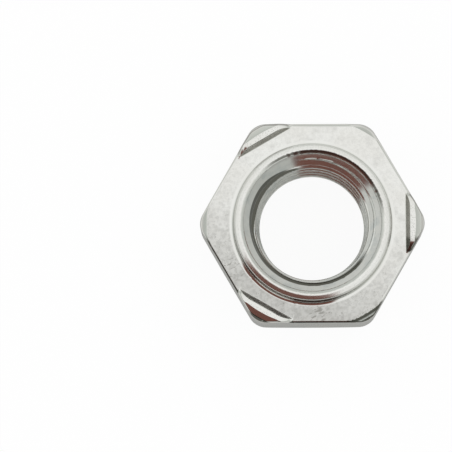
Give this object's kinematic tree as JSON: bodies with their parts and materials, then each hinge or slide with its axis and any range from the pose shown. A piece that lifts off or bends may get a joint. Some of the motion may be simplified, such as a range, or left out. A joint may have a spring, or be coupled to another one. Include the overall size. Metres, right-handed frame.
{
  "type": "hexagon weld nut",
  "caption": "Steel hexagon nut with a raised pilot collar and corner projections on its weld face, for projection welding to sheet metal.",
  "frame": {"origin": "centre of the bearing face, on the thread axis", "axes": "+Z along the thread axis towards the pilot collar and weld face; two hexagon corners on the X axis, the one on +X carrying a weld projection; two flats face +Y and -Y"},
  "size_m": [0.0214, 0.019, 0.0106],
  "materials": {
    "zinc_steel": "bright zinc plating over cold formed steel"
  },
  "bodies": {
    "root": {"weld_nut": "zinc_steel"}
  },
  "joints": []
}
